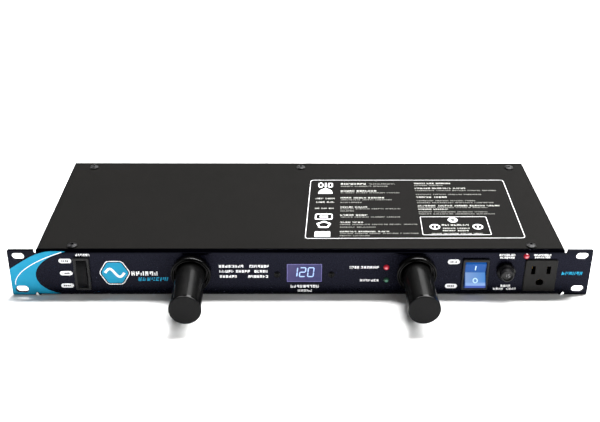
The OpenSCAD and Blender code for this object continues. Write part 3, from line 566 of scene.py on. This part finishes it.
inkFilm("sweepCyan", sweepShapes(sweep), onPanel, "chassis", cyanInk, high=0.03, cuts=fold["cuts"])
lineStart, lineEnd = sweep["lineArc"]
arc = [p for p in ellipse(*sweep["line"], start=lineStart, end=lineEnd, steps=60, closed=False)
       if sweep["lineLow"] < p[1] < sweep["highest"]]
inkFilm("sweepLine", [[stroke(arc, sweep["lineMm"], sweep["lineTaper"])]], onPanel, "chassis", whiteInk,
        cuts=fold["cuts"])

# Badge: a rounded hexagon with the sign for alternating current
badge = {"at": (-154.4, 0.0), "radius": 13.2, "ringMm": 0.8, "gapMm": 1.0, "corner": 4.5,
         "waveWide": 16.0, "waveHigh": 3.8, "waveMm": 2.2}


def badgeShapes(look):
    u, v = look["at"]
    r, corner = look["radius"], look["corner"]
    ring = [polygonRound(u, v, r, 6, corner),
            polygonRound(u, v, r - look["ringMm"], 6, corner - look["ringMm"])]
    inside = r - look["ringMm"] - look["gapMm"]
    disc = [polygonRound(u, v, inside, 6, corner - look["ringMm"] - look["gapMm"])]
    points = [(u + look["waveWide"] * (i / 32 - 0.5), v + look["waveHigh"] * math.sin(2 * math.pi * i / 32))
              for i in range(33)]
    return ring, disc, [stroke(points, look["waveMm"])]


ringShape, discShape, waveShape = badgeShapes(badge)
inkFilm("badgeDisc", [discShape], onPanel, "chassis", cyanInk, high=0.03)
inkFilm("badgeRing", [ringShape, waveShape], onPanel, "chassis", whiteInk)

# Captions on the panel as middles and sizes in millimetres; the cyan ones also lean
captions = [(-129.3, -0.6, 22.7, 4.1), (-179.2, 17.2, 12.2, 2.2), (-57.5, 6.3, 21.0, 2.6),
            (-34.5, 6.3, 16.5, 2.6), (-61.5, 1.4, 12.5, 2.5), (-48.0, 1.4, 12.0, 2.5),
            (-33.0, 1.4, 11.5, 2.5), (-60.1, -3.6, 14.9, 2.5), (-35.4, -3.6, 17.0, 2.5),
            (3.3, -13.3, 24.0, 2.7), (3.5, -17.6, 12.2, 2.4), (44.4, 5.3, 8.6, 2.4), (57.3, 5.3, 15.2, 2.4),
            (57.3, -7.4, 16.0, 2.2), (170.5, 17.2, 13.5, 1.9), (170.5, 14.6, 12.4, 1.9),
            (171.8, -12.9, 8.6, 2.2), (166.0, -15.8, 9.0, 2.1), (176.8, -15.8, 8.6, 2.1),
            (199.7, 17.1, 14.6, 1.7), (199.7, 14.9, 13.0, 1.7)]
cyanWords = [(-122.5, -6.1, 25.4, 3.6, 0.25), (226.5, -0.7, 18.2, 3.1, 0.2)]
pills = [(-194.4, 11.5, 10.5, 4.2), (-194.5, -0.4, 10.5, 4.2), (-194.7, -12.5, 10.5, 4.2),
         (126.4, 10.6, 10.0, 4.5), (125.8, -13.1, 10.1, 4.4)]
rng = random.Random(7)
inkFilm("captions", [s for u, v, w, h in captions for s in blockWord(rng, u, v, w, h)],
        onPanel, "chassis", whiteInk)
inkFilm("cyanWords", [s for u, v, w, h, lean in cyanWords for s in blockWord(rng, u, v, w, h, lean)],
        onPanel, "chassis", cyanInk)
pillShapes = []
for u, v, w, h in pills:
    marks = [shape[0] for shape in blockWord(rng, u, v, w * 0.58, h * 0.36, rows=1, open=0.0)]
    pillShapes.append([roundedBox(u, v, w, h, h / 2 - 0.01)] + marks)
inkFilm("pills", pillShapes, onPanel, "chassis", whiteInk)
print("panel print done")


# Seven-bar numerals
bars = {"0": "abcdef", "1": "bc", "2": "abged", "5": "afgcd"}


def numeral(sign, u, v, width, height, thick, lean):
    a, b, t = width / 2, height / 2, thick / 2
    gap = thick * 0.12
    boxes = {"a": (-a + t, b - t, a - t, b - t), "g": (-a + t, 0, a - t, 0),
             "d": (-a + t, -b + t, a - t, -b + t),
             "f": (-a + t, 0, -a + t, b - t), "b": (a - t, 0, a - t, b - t),
             "e": (-a + t, -b + t, -a + t, 0), "c": (a - t, -b + t, a - t, 0)}
    shapes = []
    for bar in bars[sign]:
        x0, y0, x1, y1 = boxes[bar]
        if y0 == y1:
            loop = [(x0 + gap, y0), (x0 + t, y0 - t), (x1 - t, y0 - t), (x1 - gap, y0), (x1 - t, y0 + t),
                    (x0 + t, y0 + t)]
        else:
            loop = [(x0, y0 + gap), (x0 + t, y0 + t), (x0 + t, y1 - t), (x0, y1 - gap), (x0 - t, y1 - t),
                    (x0 - t, y0 + t)]
        shapes.append([[(u + x + lean * y, v + y) for x, y in loop]])
    return shapes


# Display: pale lit numerals and a thin lit rim on the tinted window
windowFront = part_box("display_window")[0].y
display = {"digitsAt": (1.3, 0.4), "pitch": 6.8, "width": 5.6, "height": 9.6, "thick": 0.95, "lean": 0.09,
           "rim": (2.8, -0.4, 28.8, 17.1), "rimMm": 0.4}


def onWindow(u, v, h):
    return Vector((u * mm, windowFront - h * mm, v * mm))


numeralGlow = finish("litNumerals", {"deep": "7c98cc", "light": "90a8d8", "patchMm": 2, "rough": (0.3, 0.4),
                                     "grainMm": 0.5, "grainHighMm": 0.002, "glow": "a4c4ff",
                                     "glowPower": 0.62})
rimGlow = finish("litRim", {"deep": "4a4480", "light": "5c5694", "patchMm": 4, "rough": (0.3, 0.4),
                            "grainMm": 0.5, "grainHighMm": 0.002, "glow": "6c64b0", "glowPower": 0.3})
u, v = display["digitsAt"]
digits = [s for k, sign in enumerate("120") for s in numeral(
    sign, u + (k - 1) * display["pitch"], v, display["width"], display["height"], display["thick"],
    display["lean"])]
inkFilm("displayNumerals", digits, onWindow, "chassis", numeralGlow)
u, v, w, h = display["rim"]
inkFilm("displayRim", [[rectangle(u, v, w, h),
                        rectangle(u, v, w - 2 * display["rimMm"], h - 2 * display["rimMm"])]],
        onWindow, "chassis", rimGlow)


# Marks on the power rocker's two slanted faces, in the rocker's own frame
rocker = {"tilt": 12.0, "rootAt": 1.9, "root": 1.5, "top": 3.1 / 7.5, "low": 3.2 / 10.7,
          "barWide": 0.85, "barTall": 4.4, "barAt": 5.6, "ringOut": 2.2, "ringMm": 0.95, "ringAt": -5.2}
pivot = Vector(joints["power_rock"]["pos_m"]) * 1000


def onRocker(u, v, h):
    slope = rocker["top"] if v > rocker["rootAt"] else -rocker["low"]
    lean = math.atan(slope)
    out = rocker["root"] + (v - rocker["rootAt"]) * slope + h * math.cos(lean)
    up = v - h * math.sin(lean)
    t = math.radians(rocker["tilt"])
    z, y = up * math.cos(t) + out * math.sin(t), -up * math.sin(t) + out * math.cos(t)
    return Vector(((pivot.x + u) * mm, (pivot.y - y) * mm, (pivot.z + z) * mm))


markInk = finish("paleBlueInk", {"deep": "b9dcf2", "light": "d2ecfa", "patchMm": 2, "rough": (0.3, 0.4),
                                 "grainMm": 0.4, "grainHighMm": 0.003, "glow": "a8d4f4", "glowPower": 0.25})
inkFilm("rockerMarks", [[rectangle(0, rocker["barAt"], rocker["barWide"], rocker["barTall"])],
                        [ellipse(0, rocker["ringAt"], rocker["ringOut"], rocker["ringOut"]),
                         ellipse(0, rocker["ringAt"], rocker["ringOut"] - rocker["ringMm"],
                                 rocker["ringOut"] - rocker["ringMm"])]],
        onRocker, "power", markInk)

# Rating on the breaker button, in its dish
buttonLow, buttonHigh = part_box("breaker_button")
buttonMark = {"dish": 1.3, "digit": 2.0, "tall": 3.6, "thick": 0.6, "pitch": 2.7}


def onButton(u, v, h):
    middle = (buttonLow + buttonHigh) / 2
    return Vector((middle.x + u * mm, buttonLow.y + (buttonMark["dish"] - h) * mm, middle.z + v * mm))


ratings = [s for k, sign in enumerate("15") for s in numeral(
    sign, (k - 0.5) * buttonMark["pitch"], 0, buttonMark["digit"], buttonMark["tall"], buttonMark["thick"],
    0)]
greyInk = finish("wornGreyInk", {"deep": "5c5c5e", "light": "747476", "patchMm": 1.5, "rough": (0.4, 0.55),
                                 "specular": 0.2, "grainMm": 0.3, "grainHighMm": 0.004})
inkFilm("breakerRating", ratings, onButton, "breaker", greyInk)
print("display, rocker and breaker marks done")

# Label on the cover, in its own millimetres: u across, v from the front edge back
label = {"corners": [(3.3, 17.2), (189.2, 18.1), (191.7, 126.6), (10.4, 126.2)], "width": 183.0,
         "depth": 108.5}


def onCover(u, v, h):
    (ax, ay), (bx, by), (cx, cy), (dx, dy) = label["corners"]
    s, t = u / label["width"], v / label["depth"]
    x = (1 - t) * ((1 - s) * ax + s * bx) + t * ((1 - s) * dx + s * cx)
    y = (1 - t) * ((1 - s) * ay + s * by) + t * ((1 - s) * dy + s * cy)
    return Vector((x * mm, y * mm, coverTop + h * mm))


# Rows of the two text columns: start, end, low, high, and how many words
headingRows = [(28.8, 53, 98.5, 102.4, 1), (28.8, 62, 84.5, 88, 2), (28.8, 69, 71.4, 74.4, 3),
               (28.8, 53, 54, 56.6, 2), (28.8, 53, 39, 42, 2), (28.8, 49, 26.2, 29, 2),
               (28.8, 71.6, 10.3, 12.8, 3), (97.7, 132.5, 100, 103, 2), (97.7, 145.4, 90, 93, 3),
               (97.7, 126, 72.4, 75.6, 2), (97.7, 171.5, 56.2, 59, 5), (97.7, 124.6, 49.6, 52.2, 2)]
smallRows = [(55, 80, 98.9, 102, 1), (28.8, 73, 94, 97.4, 3), (28.8, 83, 81.2, 84.2, 4),
             (28.8, 75.5, 67.6, 70.6, 3), (28.8, 48, 62.4, 65.6, 1), (28.8, 83, 50.6, 53.4, 4),
             (28.8, 41, 46.6, 49.4, 1), (28.8, 81, 35.5, 38.4, 4), (28.8, 95, 22.4, 25.3, 5),
             (28.8, 59.5, 17.7, 20.5, 2), (28.8, 95, 7, 9.7, 5), (28.8, 54, 3.3, 5.9, 2),
             (97.7, 124.6, 96, 99, 2), (97.7, 173, 85.6, 88.6, 5), (97.7, 158, 77.8, 80.8, 4),
             (97.7, 151, 65.7, 68.6, 4), (97.7, 167, 62, 64.9, 4), (97.7, 160, 52.9, 55.6, 4),
             (97.7, 159, 44.8, 47.4, 4), (97.7, 164.5, 41, 43.8, 4)]


def rowWords(start, end, low, high, words, fill=0.62):
    middle, tall = (low + high) / 2, (high - low) * fill
    shapes = []
    shares = [rng.uniform(0.7, 1.3) for _ in range(words)]
    at, gap = start, 1.4
    room = end - start - gap * (words - 1)
    for share in shares:
        wide = room * share / sum(shares)
        shapes += blockWord(rng, at + wide / 2, middle, wide, tall, rows=2, open=0.5)
        at += wide + gap
    return shapes


headShapes = [s for row in headingRows for s in rowWords(*row, fill=0.8)]
smallShapes = [s for row in smallRows for s in rowWords(*row)]
labelShapes = []
edge = (label["width"] / 2, label["depth"] / 2, label["width"], label["depth"])
labelShapes.append([roundedBox(*edge, 3), roundedBox(edge[0], edge[1], edge[2] - 0.8, edge[3] - 0.8, 2.6)])
labelShapes.append([roundedBox(126.9, 21.4, 57.7, 31.8, 1.5), roundedBox(126.9, 21.4, 56.9, 31.0, 1.1)])
# Pictures down the label's left side, all plain shapes
labelShapes.append([ellipse(10.0, 98, 2.4, 5, steps=24), ellipse(10.0, 98, 1.3, 3.8, steps=24)])
labelShapes.append([rectangle(14.6, 98, 1.4, 9)])
labelShapes.append([roundedBox(19.0, 98, 4.4, 8.4, 1.2), roundedBox(19.0, 98, 2.4, 6.2, 0.6)])
dome = ellipse(14.7, 81, 6.5, 10, start=0, end=180, steps=24, closed=False)
labelShapes.append([dome])
for row in ((6, 23.7, 69.6, 73.6, 2), (6, 23.7, 62.6, 66.6, 2), (6.3, 23.3, 51.4, 54.4, 3)):
    headShapes += rowWords(*row)
labelShapes.append([roundedBox(14.6, 37.7, 15.3, 10.2, 2), roundedBox(14.6, 37.7, 13.1, 8, 1.2)])
labelShapes.append([rectangle(14.6, 37.7, 7, 3)])
labelShapes.append([polygonRound(14.9, 23.5, 6.6, 5, 1.2, 90), polygonRound(14.9, 23.5, 4.6, 5, 0.8, 90)])
cuts = [rectangle(11.0 + 2.4 * k, 7.3, 0.9, 5.2) for k in range(4)]
labelShapes.append([roundedBox(14.2, 7.3, 12.8, 8.9, 1)] + cuts)
# Boxed panel: two plain signs and rows of words
labelShapes.append([polygonRound(126, 31.4, 4.6, 6, 1), polygonRound(126, 31.4, 2.2, 6, 0.5)])
for u in (109.4, 146):
    labelShapes.append([ellipse(u, 19.4, 4.4, 4.4, steps=28), ellipse(u, 19.4, 3.3, 3.3, steps=28)])
    labelShapes.append([rectangle(u, 19.4, 1.1, 4.0)])
for row in ((115.5, 139, 20.4, 24.6, 1), (116, 139, 15.2, 18.2, 2), (115.5, 137.7, 11.2, 14.2, 2),
            (105.5, 149, 6.4, 9, 4)):
    headShapes += rowWords(*row)
# The printed rows are thinner than the frame, so they read as greys
headInk = finish("thinWhiteInk", {"deep": "8c8c88", "light": "a2a29e", "patchMm": 2, "rough": (0.45, 0.6),
                                  "specular": 0.1, "grainMm": 0.3, "grainHighMm": 0.004})
smallInk = finish("faintWhiteInk", {"deep": "565652", "light": "6c6c68", "patchMm": 2, "rough": (0.45, 0.6),
                                    "specular": 0.1, "grainMm": 0.3, "grainHighMm": 0.004})
inkFilm("coverLabel", labelShapes, onCover, "chassis", whiteInk, high=0.04)
inkFilm("coverHeadings", headShapes, onCover, "chassis", headInk, high=0.04)
inkFilm("coverRows", smallShapes, onCover, "chassis", smallInk, high=0.04)
print("cover label done,", len(labelShapes + headShapes + smallShapes), "shapes")

# Studio: white paper floor and four soft lights. A long one hangs almost overhead, a wide one stands behind,
# a low one behind on the right glances off the top edges there, and a weak one fills the front.
studio = {"floorSize": 8.0, "world": 0.15, "backdrop": 0.92,
          "overhead": {"at": (1.15, 0.62, 2.1), "size": (2.6, 0.45), "power": 230.0},
          "back": {"at": (0.2, 2.0, 2.0), "size": (5.0, 0.4), "power": 190.0},
          "rim": {"at": (1.2, 2.6, 1.68), "size": (2.2, 0.35), "power": 30.0},
          "front": {"at": (1.2, -0.95, 1.9), "size": (1.4, 0.2), "power": 8.0}}

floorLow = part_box("chassis_base")[0].z
half = studio["floorSize"] / 2
floorMesh = bpy.data.meshes.new("paperFloor")
floorMesh.from_pydata([(-half, -half, floorLow), (half, -half, floorLow), (half, half, floorLow),
                       (-half, half, floorLow)], [], [(0, 1, 2, 3)])
# Matt white background paper: bright and without shine
floorMesh.materials.append(finish("whiteBackgroundPaper", {
    "deep": "f1f1f0", "light": "f6f6f5", "patchMm": 300, "rough": (0.85, 0.95), "specular": 0.1,
    "grainMm": 3, "grainHighMm": 0.01}))
floor = bpy.data.objects.new("paperFloor", floorMesh)
bpy.context.scene.collection.objects.link(floor)

world = bpy.data.worlds.new("studioAir")
bpy.context.scene.world = world
world.use_nodes = True
air = world.node_tree
background = air.nodes["Background"]
background.inputs["Color"].default_value = (1.0, 1.0, 1.0, 1.0)
background.inputs["Strength"].default_value = studio["world"]
seen = addNode(air, "Background", {"Color": (1.0, 1.0, 1.0, 1.0), "Strength": studio["backdrop"]})
rays = addNode(air, "LightPath", {})
both = addNode(air, "MixShader", {0: rays.outputs["Is Camera Ray"], 1: background.outputs[0],
                                  2: seen.outputs[0]})
air.links.new(both.outputs[0], air.nodes["World Output"].inputs["Surface"])

for name in ("overhead", "back", "rim", "front"):
    look = studio[name]
    light = bpy.data.lights.new(name + "Softbox", "AREA")
    light.shape = "RECTANGLE"
    light.size, light.size_y = look["size"]
    light.energy = look["power"]
    holder = bpy.data.objects.new(name + "Softbox", light)
    holder.location = look["at"]
    aim = Vector((0, -look["at"][1], -look["at"][2]))
    holder.rotation_euler = aim.to_track_quat("-Z", "Y").to_euler()
    bpy.context.scene.collection.objects.link(holder)

# Camera: above the front, looking down the lamps
view = {"at": (-0.01074, -0.67295, 0.42399), "down": 27.20, "yaw": -0.80, "roll": 0.41, "lens": 57.1,
        "sensor": 36.0, "shift": -0.0383}
turn = Matrix.Rotation(math.radians(view["yaw"]), 3, "Z")
down, roll = math.radians(view["down"]), math.radians(view["roll"])
forward = turn @ Vector((0, math.cos(down), -math.sin(down)))
upward = turn @ Vector((0, math.sin(down), math.cos(down)))
across = turn @ Vector((1, 0, 0))
right = math.cos(roll) * across + math.sin(roll) * upward
top = -math.sin(roll) * across + math.cos(roll) * upward
eye = bpy.data.cameras.new("studioCamera")
eye.lens, eye.sensor_width, eye.shift_y = view["lens"], view["sensor"], view["shift"]
camera = bpy.data.objects.new("studioCamera", eye)
camera.matrix_world = Matrix.Translation(view["at"]) @ Matrix((right, top, -forward)).transposed().to_4x4()
bpy.context.scene.collection.objects.link(camera)
bpy.context.scene.camera = camera
bpy.context.scene.view_settings.view_transform = "Standard"
print("studio and camera ready")
